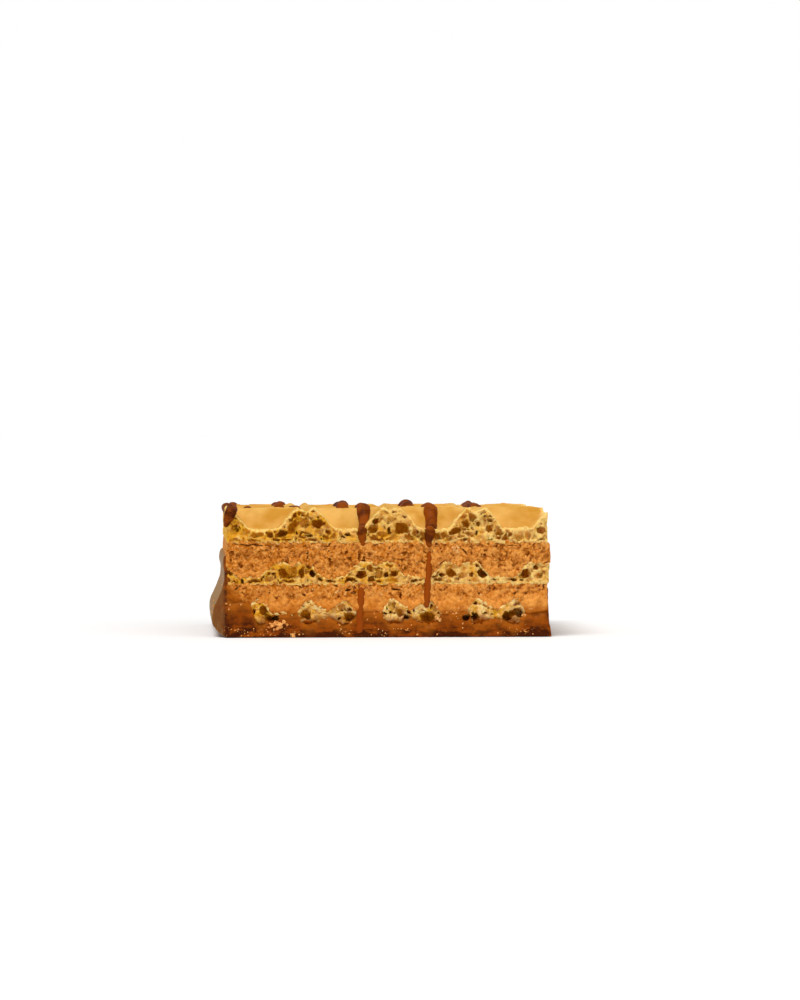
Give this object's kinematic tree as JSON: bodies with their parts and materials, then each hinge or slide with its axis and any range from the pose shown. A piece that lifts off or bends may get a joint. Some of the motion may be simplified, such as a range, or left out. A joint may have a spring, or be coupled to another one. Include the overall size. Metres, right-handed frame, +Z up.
{
  "type": "wafer biscuit",
  "caption": "Cut end of a cream-filled wafer bar: waffle sheets and cocoa creams lie open at the cut, on a chocolate base, with chocolate lines across the top.",
  "frame": {"origin": "centre of the box at the underside, where the biscuit rests", "axes": "+Z up through the layers, the cut face towards -Y, +X along the cut face, the longest side"},
  "size_m": [0.0386, 0.03, 0.0155],
  "materials": {
    "wafer": "dry, matte, baked crust with open pores at the cut",
    "cream": "grainy fat cream, slightly satin",
    "chocolate": "milk chocolate, set, with a soft gloss"
  },
  "bodies": {
    "root": {"wafer_top": "wafer", "wafer_middle": "wafer", "wafer_bottom": "wafer", "cream_upper": "cream", "cream_lower": "cream", "chocolate_base": "chocolate"}
  },
  "joints": []
}
